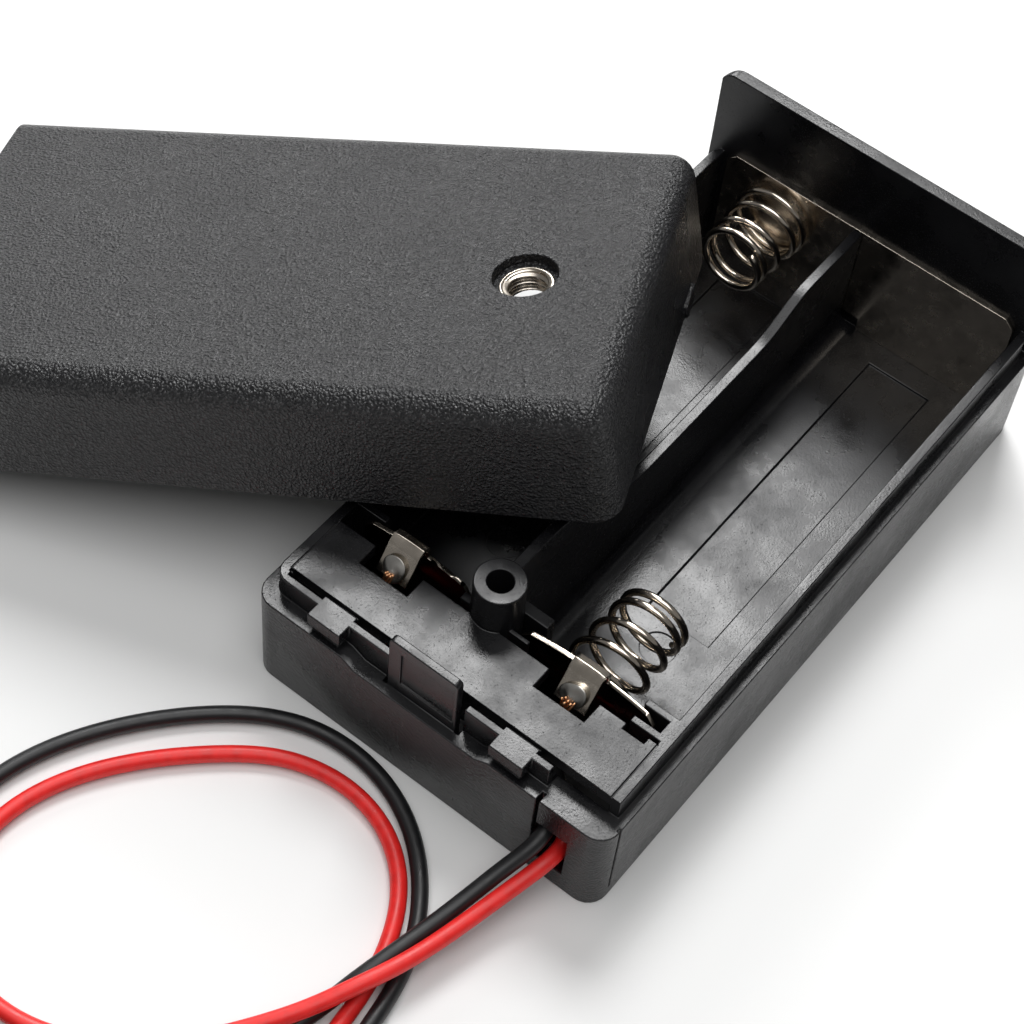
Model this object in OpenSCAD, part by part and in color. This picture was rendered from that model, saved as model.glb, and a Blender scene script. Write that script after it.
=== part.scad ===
// Two-cell battery case for AA cells, laid open: case, lid, contacts, springs and two leads.
// Millimetres. The origin is the middle of the case's underside, +X runs from the lead end to the
// far end, +Y to the side that the lid leans on, +Z up.

/* [Cells] */
// Diameter of one cell
cell_d = 14.5; // [14:0.25:16]
// Length of one cell
cell_len = 50.5; // [48:0.5:56]
// Spare width of each bay around its cell
bay_play = 1.9; // [1.5:0.1:3]
// Length of a bay that the squeezed spring takes up
spring_room = 4.6; // [4:0.1:7]

/* [Case] */
// Thickness of the case's side walls, under the ledge
wall_t = 1.9; // [1.7:0.1:2.6]
// Thickness of the floor
floor_t = 1.5; // [1:0.1:2.5]
// Height of the ledge that the lid's skirt stands on
ledge_h = 11.4; // [11:0.1:12.2]
// How far the rim and the deck rise above the ledge
rim_rise = 2.35; // [2.1:0.05:3]
// Radius of the case's upright corners
corner_r = 2; // [1:0.1:3]
// Thickness of the far end wall
end_wall_t = 1.3; // [1:0.1:2]
// How far the far end wall stands above the closed lid
end_wall_rise = 0.4; // [0:0.1:1]
// Length of the wiring end, from the near face to the contact plates' bay side
wiring_l = 11.2; // [10.9:0.1:13]
// Thickness of the divider between the bays
divider_t = 1; // [0.8:0.1:1.6]
// How far the divider and the post stand off the middle
divider_y = 1.1; // [0.6:0.1:1.6]
// How far the divider's high end rises above the rim
divider_rise = 4.15; // [3:0.05:4.2]
// How far the divider dips below the rim, under the open lid
divider_dip = 1.75; // [0:0.05:4]
// How far the divider's far end rises above its dip
divider_lift = 2.3; // [1:0.1:4]
// Length of the divider's high end, from the post
divider_high_l = 6; // [3:0.5:8]
// Length over which the divider falls to its dip
divider_fall_l = 16; // [8:0.5:18]
// Length of the divider's raised far end
divider_far_l = 9; // [5:0.5:12]
// Length over which the divider rises again
divider_lift_l = 8; // [4:0.5:10]
// Radius of the fillets at the divider's foot
foot_r = 1.6; // [0.8:0.1:2.4]

/* [Deck] */
// Thickness of the deck over the wiring space
deck_t = 1.3; // [1:0.1:1.6]
// Length of the deck along the case
deck_l = 6.3; // [6:0.1:6.8]
// Thickness of the outer rib in front of the deck
rib_t = 0.7; // [0.5:0.05:0.9]
// Width of the slot between that rib and the deck
rib_slot = 0.7; // [0.4:0.05:0.9]
// Width of each notch that a solder tongue dips into
notch_w = 5.2; // [4.6:0.1:5.6]
// Length of those notches
notch_l = 2.2; // [2:0.1:2.8]
// Width of the latch tab
latch_w = 7.2; // [5:0.1:7.6]
// Thickness of the latch tab
latch_t = 0.8; // [0.6:0.05:1]
// How far the latch tab rises above the rim
latch_rise = 3.85; // [2.5:0.05:5]
// Width of each lug beside the latch
lug_w = 3.5; // [2:0.1:4.5]

/* [Closing post] */
// Outer diameter of the post
post_d = 4.6; // [4:0.1:5]
// Bore of the post, for the closing screw
post_bore = 2.3; // [1.6:0.1:2.6]
// How far the post rises above the rim
post_rise = 4.35; // [3.8:0.05:4.6]

/* [Lid] */
// Height of the lid
lid_h = 11.5; // [11:0.1:13]
// Thickness of the lid's skirt
lid_wall = 0.8; // [0.6:0.05:1]
// Thickness of the lid's top
lid_top = 1.2; // [1:0.1:1.6]
// Sideways clearance between the lid's skirt and the rim
lid_gap = 0.15; // [0.1:0.05:0.3]
// Radius of the lid's top edges
lid_edge_r = 2.4; // [1.6:0.1:2.8]
// Diameter of the sunk seat round the insert
seat_d = 5.8; // [5.2:0.1:6.4]
// Depth of that seat
seat_l = 1; // [0.6:0.1:1.8]
// Outer diameter of the boss inside the lid
boss_d = 7.6; // [7:0.1:9]
// How far past the case's middle the open lid's screw end lies, along the case
lid_px = 2.6; // [1:0.1:5]
// How far in over the case that end lies
lid_py = 15.7; // [14.5:0.1:16.5]
// How far the open lid is turned against the case
lid_yaw = 66; // [64:0.5:70]
// How far the open lid is rolled down towards the far end
lid_roll = 3; // [0:0.5:4]

/* [Insert] */
// Outer diameter of the threaded insert
insert_d = 4.8; // [4.4:0.1:5.2]
// Core diameter of its M4 thread
insert_bore = 3.2; // [2.8:0.1:3.4]
// Length of the insert
insert_l = 2; // [1.6:0.1:3]

/* [Contacts] */
// Thickness of the contact sheet
sheet_t = 0.4; // [0.3:0.05:0.5]
// Width of a contact's solder tongue
tongue_w = 3.2; // [2.4:0.1:4]
// Wire of the springs
spring_wire = 0.7; // [0.5:0.05:0.8]
// Free length of the negative spring
spring_l = 11.2; // [9:0.1:12]
// Free length of the link spring
link_spring_l = 8; // [7.4:0.1:10]
// Outer diameter of a spring's wide end
spring_d = 8; // [7:0.1:8.4]
// Outer diameter of a spring's narrow end
spring_tip_d = 7; // [5.6:0.1:7.4]
// Turns of a spring that stand apart
spring_turns = 3; // [3:1:4]

/* [Leads] */
// Outer diameter of a lead
lead_d = 1.5; // [1.2:0.05:1.6]
// Diameter of a lead's bare strands
strand_d = 0.8; // [0.6:0.05:1]
// Bare length at a lead's free end
bare_l = 5; // [3:0.5:8]
// Width of the lead exit
exit_w = 3.5; // [3.3:0.1:4]
// Height of the lead exit
exit_h = 5.4; // [4.6:0.1:6]

/* [Hidden] */
eps = 0.01;
bore_fn = 48;
arc_steps = 6;

// Heights
seat_gap = 0.1;
rim_h = ledge_h + rim_rise;
closed_h = ledge_h + seat_gap + lid_h;
divider_h = rim_h + divider_rise;
divider_dip_h = rim_h - divider_dip;
latch_h = rim_h + latch_rise;
post_h = rim_h + post_rise;
post_bore_l = post_h - floor_t;
wall_top = closed_h + end_wall_rise;

// Plan of the case
case_l = wiring_l + spring_room + cell_len + sheet_t + end_wall_t;
case_w = 2 * (cell_d + bay_play + wall_t) + divider_t;
near_x = -case_l / 2;
far_x = case_l / 2;
side_y = case_w / 2;
bay_y = side_y - wall_t;
ledge_w = lid_wall + lid_gap;
rim_y = side_y - ledge_w;
end_in_x = far_x - end_wall_t;
plate_x = near_x + wiring_l - sheet_t;
post_x = plate_x + sheet_t / 2;

// Near end, counted inwards from the near face
rib_x = near_x + ledge_w + 0.65;
deck_x = rib_x + rib_t + rib_slot;
deck_end_x = deck_x + deck_l;
deck_under = rim_h - deck_t;
shelf_t = 1.2;
shelf_under = ledge_h - shelf_t;
near_in_x = near_x + wall_t;
latch_x = near_x + ledge_w + 0.05;
latch_y0 = divider_y - latch_w / 2;
latch_y1 = divider_y + latch_w / 2;
pocket_side = 0.4;
pocket_floor = ledge_h - 2.2;
scoop_drop = 0.8;
scoop_side = 4.2;
lug_z = deck_under - 0.15;
lug_reach = 1.3;
lug_step = 0.4;
lug_left_y = latch_y1 + 4.7;
lug_right_y = latch_y0 - 7.4;
rib_end_y = lug_right_y - 1.8;
seam_deep = 0.5;

// Grooves that hold the contact plates
groove_w = 1.3;
groove_x = plate_x + sheet_t / 2 - groove_w / 2;
groove_wall = 0.7;
pillar_reach = 3.1;
groove_reach = pillar_reach - 0.5;
gate_gap = 1;

// Contact plates: outer and inner edges, seen from above
plate_out = bay_y - pillar_reach + 1.6;
plate_in = divider_y + post_d / 2 + 0.5;
plate_in_right = post_d / 2 + 0.5 - divider_y;
plate_top = rim_h - 0.1;
link_top = rim_h + 0.6;
tongue_y = 10.4;
tongue_y_right = -8.7;

// Lead exit, in the near wall
exit_y = -(side_y - 5.3);
exit_z = floor_t + 1;
seam_w = 0.3;

// Lid
lid_l = case_l - end_wall_t - 0.2;
lid_w = case_w;
hole_in = post_x - near_x;
boss_l = seat_l + insert_l;
lid_rest_gap = 0.05;
lid_reach = lid_l * sin(lid_yaw) + lid_w / 2 * cos(lid_roll) * cos(lid_yaw) - lid_py;
lid_lift = lid_w / 2 * sin(lid_roll);
pocket_deep = 0.55;
pocket_top = rim_h - ledge_h - seat_gap + 0.2;
catch_y = 8;
catch_w = 3.6;
catch_out = 0.4;
end_corner_r = 1.6;
lid_tilt = asin((rim_h + lid_rest_gap) / lid_reach);

// Springs
spring_z = floor_t + cell_d / 2;
right_axis_y = (divider_y - divider_t / 2 - bay_y) / 2;
left_axis_y = (divider_y + divider_t / 2 + bay_y) / 2;
spring_steps = 18;
spring_start = 50;
link_spring_y = left_axis_y + 0.7;
link_spring_z = spring_z + 0.9;
spring_sides = 8;

// Leads: from the solder joint, through the exit, over the surface to the free end
lead_sides = 8;
red_route = [
    [-26.5, 10.2, 9.2], [-27.5, 9.0, 7.0], [-28.6, 5.6, 5.0], [-29.1, 1.6, 3.8],
    [-29.2, -2.6, 3.2], [-29.2, -6.6, 2.9], [-29.4, -10.2, 3.1], [-30.4, -13.0, 3.8],
    [-32.0, -14.3, 4.4], [-34.0, -14.4, 4.7], [-36.3, -13.8, 4.2], [-38.6, -13.1, 3.6],
    [-41.2, -12.4, 3.2], [-44.6, -11.6, 3.0],
    [-48.6, -10.6, 3.1], [-52.0, -9.2, 3.3], [-54.4, -8.0, 2.9], [-56.8, -6.8, 2.4],
    [-60.2, -4.5, 2.0], [-63.8, -1.6, 1.1], [-67.6, 2.2, 0.8], [-70.6, 6.8, 0.8],
    [-72.2, 12.2, 0.8], [-71.4, 17.8, 0.8], [-68.0, 22.4, 0.8], [-62.8, 24.8, 0.8],
    [-57.0, 24.6, 0.8], [-51.6, 22.2, 0.8], [-46.8, 18.6, 0.8], [-42.7, 14.3, 0.8],
    [-40.2, 11.2, 0.8], [-38.8, 7.7, 0.8], [-38.3, 4.1, 0.8], [-38.8, 0.6, 0.8],
    [-40.2, -2.4, 0.8], [-42.2, -4.8, 0.8], [-44.8, -6.7, 0.8], [-48.4, -8.3, 0.8],
    [-52.4, -9.1, 0.8], [-56.6, -9.4, 0.8], [-60.6, -9.8, 0.8]
];
black_route = [
    [-27.1, -8.7, 9.2], [-28.1, -9.4, 7.8], [-29.4, -10.8, 7.1], [-31.2, -12.3, 6.8],
    [-34.0, -13.2, 6.1], [-36.1, -12.2, 5.0], [-38.6, -11.4, 3.9], [-42.7, -10.4, 2.8],
    [-46.6, -9.5, 2.5], [-50.0, -8.7, 2.4], [-52.4, -8.0, 1.9], [-54.4, -7.5, 1.2],
    [-57.2, -6.8, 0.8], [-61.2, -5.6, 0.8], [-65.6, -3.4, 0.8], [-70.0, 0.4, 0.8],
    [-73.4, 5.6, 0.8], [-75.0, 11.8, 0.8], [-74.2, 18.4, 0.8], [-70.6, 24.2, 0.8],
    [-64.8, 27.6, 0.8], [-58.0, 28.2, 0.8], [-51.4, 26.2, 0.8], [-45.4, 22.4, 0.8],
    [-40.4, 17.9, 0.8], [-37.4, 13.9, 0.8], [-35.8, 10.2, 0.8], [-35.4, 6.5, 0.8],
    [-35.7, 2.8, 0.8], [-37.0, -0.9, 0.8], [-39.2, -4.3, 0.8], [-42.3, -7.2, 0.8],
    [-45.8, -9.4, 0.8], [-49.6, -10.7, 0.8], [-53.6, -11.2, 0.8], [-57.6, -11.6, 0.8],
    [-61.2, -12.4, 0.8]
];

// Points of an arc about a centre, from one angle to another
function arc(cx, cy, r, a0, a1, n = arc_steps) =
    [for (i = [0:n]) let (a = a0 + (a1 - a0) * i / n) [cx + r * cos(a), cy + r * sin(a)]];

// Outline of a rectangle with round corners
function round_rect(x0, y0, x1, y1, r) = concat(
    arc(x1 - r, y1 - r, r, 0, 90),
    arc(x0 + r, y1 - r, r, 90, 180),
    arc(x0 + r, y0 + r, r, 180, 270),
    arc(x1 - r, y0 + r, r, 270, 360)
);

function unit(v) = v / norm(v);

// Direction of a route at one of its points: along the chord of its neighbours
function heading(p, i) = unit(p[min(i + 1, len(p) - 1)] - p[max(i - 1, 0)]);

// Outline of a strip bent along a flat path: its centre line pushed out to both sides
function strip_side(p, i, t) = let (d = heading(p, i)) p[i] + t / 2 * [-d[1], d[0]];
function strip(p, t) = concat(
    [for (i = [0:len(p) - 1]) strip_side(p, i, t)],
    [for (i = [len(p) - 1:-1:0]) strip_side(p, i, -t)]
);

// A tube swept along a route: one ring a point, square to the route there
function ring(p, i, r, sides) = let (
    d = heading(p, i),
    s = unit(cross(d, [0, 0.02, 1])),
    u = cross(s, d)
) [for (k = [0:sides - 1]) let (a = 360 * k / sides) p[i] + r * (cos(a) * s + sin(a) * u)];

// Closes rings of points, one after another, into a tube with flat ends
module skin(points, rings, sides) {
    walls = [
        for (i = [0:rings - 2]) for (k = [0:sides - 1])
            let (a = i * sides + k, b = i * sides + (k + 1) % sides)
            each [[a, a + sides, b + sides], [a, b + sides, b]]
    ];
    first_cap = [for (k = [0:sides - 1]) k];
    last_cap = [for (k = [sides - 1:-1:0]) (rings - 1) * sides + k];
    polyhedron(points, concat(walls, [first_cap], [last_cap]));
}

module tube(p, r, sides) {
    skin([for (i = [0:len(p) - 1]) each ring(p, i, r, sides)], len(p), sides);
}

// A box from its two corners
module block(lo, hi) {
    translate(lo) cube(hi - lo);
}

// A plate with round upright corners
module slab(x0, x1, half_w, z0, z1, r) {
    translate([0, 0, z0]) linear_extrude(z1 - z0) polygon(round_rect(x0, -half_w, x1, half_w, r));
}

// A shape drawn in the X-Z plane and pushed along +Y from y0
module across(y0, w) {
    translate([0, y0 + w, 0]) rotate([90, 0, 0]) linear_extrude(w) children();
}

// Top edge of the divider: high at the post, a smooth dip, then a raised far end
function divider_top(x) = let (
    x_fall = post_x + divider_high_l,
    x_rise = end_in_x - divider_far_l - divider_lift_l,
    fall = min(1, max(0, (x - x_fall) / divider_fall_l)),
    rise = min(1, max(0, (x - x_rise) / divider_lift_l))
) divider_dip_h
    + (divider_h - divider_dip_h) * (1 + cos(180 * fall)) / 2
    + divider_lift * (1 - cos(180 * rise)) / 2;

module divider() {
    x0 = post_x;
    x1 = end_in_x - sheet_t - 0.1;
    steps = 36;
    across(divider_y - divider_t / 2, divider_t)
        polygon(concat(
            [[x1, floor_t - eps], [x0, floor_t - eps]],
            [for (i = [0:steps]) let (x = x0 + (x1 - x0) * i / steps) [x, divider_top(x)]]
        ));
    // Foot fillets, hollow quarter rounds along both faces
    for (side = [-1, 1])
        translate([x1, divider_y + side * divider_t / 2, floor_t])
            rotate([90, 0, -90])
                linear_extrude(x1 - x0)
                    polygon(concat(
                        [[side * eps, -eps], [-side * foot_r, -eps]],
                        [for (q = arc(foot_r, foot_r, foot_r, 270, 180)) [-side * q[0], q[1]]],
                        [[side * eps, foot_r]]
                    ));
}

// Case shell: outer wall up to the ledge, thinner rim above it, tall far end wall
module shell() {
    difference() {
        union() {
            slab(near_x, far_x, side_y, 0, ledge_h, corner_r);
            slab(rib_x, far_x - ledge_w, rim_y, ledge_h - eps, rim_h, corner_r - ledge_w / 2);
            intersection() {
                slab(near_x, far_x, side_y, ledge_h - eps, wall_top, corner_r);
                end_wall();
            }
        }
        // Both bays
        block([deck_end_x, -bay_y, floor_t], [end_in_x, bay_y, wall_top]);
        // Wiring space under the deck and under the shelf
        block([deck_x, -bay_y, floor_t], [deck_end_x + eps, bay_y, deck_under]);
        block([near_in_x, -bay_y, floor_t], [deck_x + eps, bay_y, shelf_under]);
        // Slot between the outer rib and the deck
        block([rib_x + rib_t, -bay_y, ledge_h + 0.3], [deck_x, rim_y - 1.2, rim_h + eps]);
        // The rib stops before the lead corner
        block([rib_x - eps, -rim_y - eps, ledge_h], [deck_x, rib_end_y, rim_h + eps]);
    }
}

// The far end wall with its round top corners
module end_wall() {
    translate([end_in_x, 0, 0])
        rotate([90, 0, 90])
            linear_extrude(end_wall_t)
                polygon(round_rect(-side_y, ledge_h - 3, side_y, wall_top, end_corner_r));
}

// The latch: a dropped ledge, a pocket behind it and the tab that stands in the pocket
module latch_cuts() {
    scoop0 = latch_y0 - scoop_side;
    scoop1 = latch_y1 + scoop_side;
    translate([near_x - eps, 0, 0])
        rotate([90, 0, 90])
            linear_extrude(rib_x - near_x + eps)
                polygon([
                    [scoop0, ledge_h + eps], [scoop0 + 1.4, ledge_h - scoop_drop],
                    [scoop1 - 1.4, ledge_h - scoop_drop], [scoop1, ledge_h + eps]
                ]);
    block(
        [latch_x, latch_y0 - pocket_side, pocket_floor],
        [deck_x, latch_y1 + pocket_side, rim_h + eps]
    );
}

// The tab has a shallow recess in its outer face
module latch_tab() {
    border_side = 1.3;
    border_low = 0.4;
    recess = 0.25;
    difference() {
        translate([latch_x, 0, 0])
            rotate([90, 0, 90])
                linear_extrude(latch_t)
                    polygon(round_rect(latch_y0, pocket_floor - 0.6, latch_y1, latch_h, 0.5));
        block(
            [latch_x - eps, latch_y0 + border_low, ledge_h + border_low],
            [latch_x + recess, latch_y1 - border_side, latch_h - border_side]
        );
    }
}

// A shelf under the pocket closes the wiring space below the latch
module pocket_shelf() {
    block(
        [near_in_x - eps, latch_y0 - pocket_side - 1, pocket_floor - shelf_t],
        [deck_x + 0.8, latch_y1 + pocket_side + 1, pocket_floor]
    );
    block(
        [deck_x, latch_y0 - pocket_side - 1, pocket_floor - shelf_t],
        [deck_x + 0.8, latch_y1 + pocket_side + 1, deck_under + eps]
    );
    for (y = [latch_y0 - pocket_side - 1, latch_y1 + pocket_side])
        block([near_in_x - eps, y, pocket_floor - shelf_t], [deck_x + 0.8, y + 1, shelf_under + eps]);
}

// Two lugs that reach over the ledge from the outer rib
module lugs() {
    for (y = [lug_left_y, lug_right_y]) {
        block([rib_x - lug_reach, y, lug_z], [rib_x + eps, y + lug_w, rim_h]);
        block(
            [rib_x - lug_reach + lug_step, y + lug_step, ledge_h - eps],
            [rib_x + eps, y + lug_w - lug_step, lug_z]
        );
        block([rib_x, y, ledge_h], [deck_x + eps, y + lug_w, rim_h]);
    }
}

// Notches in the deck's rear edge for the solder tongues, and the gate slot beside the right pillar
module deck_cuts() {
    for (y = [tongue_y - 0.1, tongue_y_right + 0.3])
        block([deck_end_x - notch_l, y - notch_w / 2, deck_under - eps], [deck_end_x + eps, y + notch_w / 2, rim_h + eps]);
    block(
        [groove_x - groove_wall - gate_gap, -bay_y + 0.95, deck_under - eps],
        [deck_end_x + eps, -bay_y + pillar_reach, rim_h + eps]
    );
    // Seam between the lugs and the deck
    block([deck_x - seam_w, -bay_y, rim_h - seam_deep], [deck_x, bay_y, rim_h + eps]);
    // Fine border line round the deck, just inside the rim
    line_w = 0.15;
    for (y = [-bay_y - line_w / 2, bay_y - line_w / 2])
        block([deck_x - eps, y, rim_h - line_w], [deck_end_x, y + line_w, rim_h + eps]);
}

// Pillars on the side walls, with the grooves that the plates slide down into
module pillars() {
    difference() {
        union() {
            block(
                [groove_x - groove_wall, -bay_y - eps, floor_t - eps],
                [groove_x + groove_w + groove_wall, -bay_y + pillar_reach, rim_h]
            );
            block(
                [groove_x + groove_w, bay_y - pillar_reach, floor_t - eps],
                [groove_x + groove_w + groove_wall, bay_y + eps, rim_h]
            );
        }
        block(
            [groove_x, -bay_y + 0.5, floor_t],
            [groove_x + groove_w, -bay_y + pillar_reach + eps, rim_h + eps]
        );
    }
    // Upstands beside the post that hold the plates' inner edges
    block(
        [plate_x - 0.9, divider_y + post_d / 2 - 0.6, floor_t - eps],
        [plate_x - 0.1, divider_y + post_d / 2 + 0.85, rim_h]
    );
    block(
        [plate_x + sheet_t + 1.0, divider_y - post_d / 2 - 2.1, floor_t - eps],
        [plate_x + sheet_t + 2.1, divider_y - divider_t / 2 + eps, rim_h]
    );
    block(
        [plate_x - 0.9, divider_y - post_d / 2 - 1.8, floor_t - eps],
        [plate_x - 0.5, divider_y - post_d / 2 + 0.6, rim_h]
    );
}

// Shallow marks that the mould leaves on the bays' floors
module floor_marks() {
    panel_x = plate_x + 16;
    for (y = [right_axis_y, left_axis_y]) {
        block([panel_x, y - 3.4, floor_t - 0.25], [end_in_x - 3, y + 3.4, floor_t + eps]);
        translate([panel_x - 3, y, floor_t - 0.15]) cylinder(h = 1, r = 1.7, $fn = bore_fn);
    }
}

// The lead exit, with the seams of the corner that closes over the leads
module exit_cuts() {
    block([near_x - eps, exit_y - exit_w / 2, exit_z], [near_in_x + eps, exit_y + exit_w / 2, exit_z + exit_h]);
    block([near_x - eps, exit_y + exit_w / 2 - seam_w, exit_z], [near_x + ledge_w, exit_y + exit_w / 2, ledge_h + eps]);
    block([near_x + 2, -side_y - eps, exit_z - 1], [near_x + 2 + seam_w, -side_y + 0.25, ledge_h + eps]);
}

module base_case() {
    color("#222327")
    difference() {
        union() {
            difference() {
                shell();
                latch_cuts();
            }
            latch_tab();
            pocket_shelf();
            lugs();
            pillars();
            divider();
            translate([post_x, divider_y, floor_t - eps])
                cylinder(h = post_h - floor_t + eps, d = post_d, $fn = bore_fn);
        }
        deck_cuts();
        exit_cuts();
        floor_marks();
        translate([post_x, divider_y, post_h - post_bore_l])
            cylinder(h = post_bore_l + eps, d = post_bore, $fn = bore_fn);
    }
}

// Puts a shape that is drawn on the closed lid's own axes where the open lid rests: one skirt on
// the rim's edge, that skirt's far corner on the table. Local +X points out of the screw end.
module lid_place() {
    translate([0, rim_y, rim_h + lid_rest_gap])
        rotate([-lid_tilt, 0, 0])
            translate([lid_px, -lid_py, lid_lift])
                rotate([0, 0, -lid_yaw])
                    rotate([-lid_roll, 0, 0])
                        children();
}

// Outer form of the lid: round top edges and a round screw end, square where it butts the wall
module lid_form() {
    r = lid_edge_r;
    y = lid_w / 2 - r;
    hull() {
        for (side = [-1, 1]) {
            translate([-r, side * y, lid_h - r]) sphere(r = r, $fn = 32);
            translate([-r, side * y, 0]) cylinder(h = 1, r = r, $fn = 32);
            translate([-lid_l, side * y, lid_h - r]) rotate([0, 90, 0]) cylinder(h = 1, r = r, $fn = 32);
        }
        block([-lid_l, -lid_w / 2, 0], [-lid_l + 1, lid_w / 2, 1]);
    }
}

// The hollow under the lid's top, with round inner edges
module lid_hollow() {
    r = lid_edge_r - lid_wall;
    w = lid_w - 2 * lid_wall;
    translate([-lid_l + lid_wall, 0, 0])
        rotate([90, 0, 90])
            linear_extrude(lid_l - lid_wall - lid_edge_r)
                polygon(concat(
                    [[-w / 2, -eps], [w / 2, -eps]],
                    arc(w / 2 - r, lid_h - lid_top - r, r, 0, 90),
                    arc(-w / 2 + r, lid_h - lid_top - r, r, 90, 180)
                ));
    block([-lid_edge_r - eps, -w / 2 + r, -eps], [-lid_wall, w / 2 - r, lid_h - lid_top - r]);
}

module lid() {
    color("#26272b")
    lid_place()
    difference() {
        union() {
            difference() {
                lid_form();
                lid_hollow();
            }
            translate([-hole_in, -divider_y, lid_h - boss_l])
                cylinder(h = boss_l - lid_top + eps, d = boss_d, $fn = bore_fn);
            // Small catch that stands out of the screw end's lower edge
            block([-eps, catch_y, 0.3], [catch_out, catch_y + catch_w, 1.5]);
            // Gussets that tie the boss to the lid's top
            for (side = [-1, 1])
                block(
                    [-hole_in - 0.5, -divider_y + side * (boss_d / 2 + 0.9) - 1, lid_h - boss_l],
                    [-hole_in + 0.5, -divider_y + side * (boss_d / 2 + 0.9) + 1, lid_h - lid_top + eps]
                );
        }
        translate([-hole_in, -divider_y, lid_h - boss_l - eps])
            cylinder(h = boss_l + 1, d = insert_d, $fn = bore_fn);
        translate([-hole_in, -divider_y, lid_h - seat_l])
            cylinder(h = seat_l + 1, d = seat_d, $fn = bore_fn);
        // Pockets inside the screw end's skirt that take the lugs' tips
        for (y = [lug_left_y, lug_right_y])
            block([-lid_wall - eps, -y - lug_w - 0.3, -eps], [-lid_wall + pocket_deep, -y + 0.3, pocket_top]);
    }
}

module threaded_insert() {
    color("#b9b2a6")
    lid_place()
    translate([-hole_in, -divider_y, lid_h - boss_l])
    difference() {
        cylinder(h = insert_l, d = insert_d, $fn = bore_fn);
        translate([0, 0, -1]) cylinder(h = boss_l + 2, d = insert_bore, $fn = bore_fn);
    }
}

// Side view of a solder tongue: up from the plate, over a round fold and down into the notch
tongue_line = [
    [plate_x + sheet_t / 2, plate_top - 1],
    [plate_x + sheet_t / 2, plate_top + 0.7],
    [plate_x + sheet_t / 2 - 0.25, plate_top + 1.3],
    [plate_x + sheet_t / 2 - 0.8, plate_top + 1.5],
    [plate_x + sheet_t / 2 - 1.25, plate_top + 1.15],
    [deck_end_x - notch_l / 2, deck_under - 0.1]
];

module contact_plate(y0, y1, tongue) {
    chamfer = 0.8;
    translate([plate_x, 0, 0])
        rotate([90, 0, 90])
            linear_extrude(sheet_t)
                polygon([
                    [y0, floor_t], [y1, floor_t], [y1, plate_top - chamfer], [y1 - chamfer, plate_top],
                    [y0 + chamfer, plate_top], [y0, plate_top - chamfer]
                ]);
    across(tongue - tongue_w / 2, tongue_w) polygon(strip(tongue_line, sheet_t));
}

module positive_contact() {
    color("#c9bfae") contact_plate(plate_in, plate_out, tongue_y);
}

module negative_contact() {
    color("#c9bfae") contact_plate(-plate_out, -plate_in_right, tongue_y_right);
}

// One sheet across both bays at the far end, notched over the divider's foot
module link_contact() {
    half = bay_y - 0.6;
    gap = divider_t / 2 + foot_r + 0.3;
    color("#c9bfae")
    translate([end_in_x - sheet_t, 0, 0])
        rotate([90, 0, 90])
            linear_extrude(sheet_t)
                polygon([
                    [-half, floor_t], [divider_y - gap, floor_t], [divider_y - gap, floor_t + foot_r],
                    [divider_y + gap, floor_t + foot_r], [divider_y + gap, floor_t], [half, floor_t],
                    [half, link_top - 1], [half - 1, link_top], [-half + 1, link_top], [-half, link_top - 1]
                ]);
}

// Centre line of a right-handed spring along +X: a closed turn at the plate, open turns, a turn
// that is nearly closed and a closed half turn
function spring_point(i, l) = let (
    t = i / spring_steps,
    closed = 1.04 * spring_wire,
    last = 1.8 * spring_wire,
    pitch = (l - 1.5 * closed - last - spring_wire) / spring_turns,
    open_t = min(spring_turns, max(0, t - 1)),
    last_t = min(1, max(0, t - 1 - spring_turns)),
    x = closed * (min(1, t) + max(0, t - 2 - spring_turns)) + pitch * open_t + last * last_t,
    taper = min(1, max(0, (t - 0.5) / (spring_turns + 1))),
    r = (spring_d + (spring_tip_d - spring_d) * taper - spring_wire) / 2
) [x + spring_wire / 2, r * cos(360 * t + spring_start), r * sin(360 * t + spring_start)];

// Rings of a spring stand square to its wire and take the spring's axis as their second direction
module spring(l) {
    rings = (spring_turns + 2.5) * spring_steps + 1;
    line = [for (i = [0:rings - 1]) spring_point(i, l)];
    points = [
        for (i = [0:rings - 1])
            let (d = heading(line, i), s = unit(cross(d, [1, 0, 0])), u = cross(s, d))
            for (k = [0:spring_sides - 1])
                let (a = 360 * (k + 0.5) / spring_sides)
                line[i] + spring_wire / 2 * (cos(a) * s + sin(a) * u)
    ];
    skin(points, rings, spring_sides);
}

module negative_spring() {
    color("#c2b8a8")
    translate([plate_x + sheet_t, right_axis_y, spring_z])
        spring(spring_l);
}

module link_spring() {
    color("#c2b8a8")
    translate([end_in_x - sheet_t, link_spring_y, link_spring_z])
        rotate([0, 180, 0])
            spring(link_spring_l);
}

// Solder on the lower end of a tongue, on the side that faces the leads
tongue_end = tongue_line[5];
tongue_lean = atan2(tongue_line[4][0] - tongue_end[0], tongue_line[4][1] - tongue_end[1]);
strand_out = sheet_t / 2 + strand_d / 2;
strand_down = 2.2;
strand_up = 0.8;

module on_tongue(y) {
    translate([tongue_end[0], y, tongue_end[1]]) rotate([0, tongue_lean, 0]) children();
}

module solder_joint(y) {
    color("#b4b4b2")
    difference() {
        on_tongue(y)
            translate([-sheet_t / 2, 0, 1.1])
                rotate([0, -90, 0])
                    rotate_extrude($fn = bore_fn)
                        polygon([[0, 0], [1.2, 0], [1.12, 0.25], [0.85, 0.5], [0.45, 0.65], [0, 0.7]]);
        strands(y, strand_up);
    }
}

module strands(y, top) {
    on_tongue(y)
        translate([-strand_out, 0, -strand_down])
            cylinder(h = strand_down + top, d = strand_d, $fn = 24);
}

module positive_solder_joint() {
    solder_joint(tongue_y);
}

module negative_solder_joint() {
    solder_joint(tongue_y_right);
}

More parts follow.
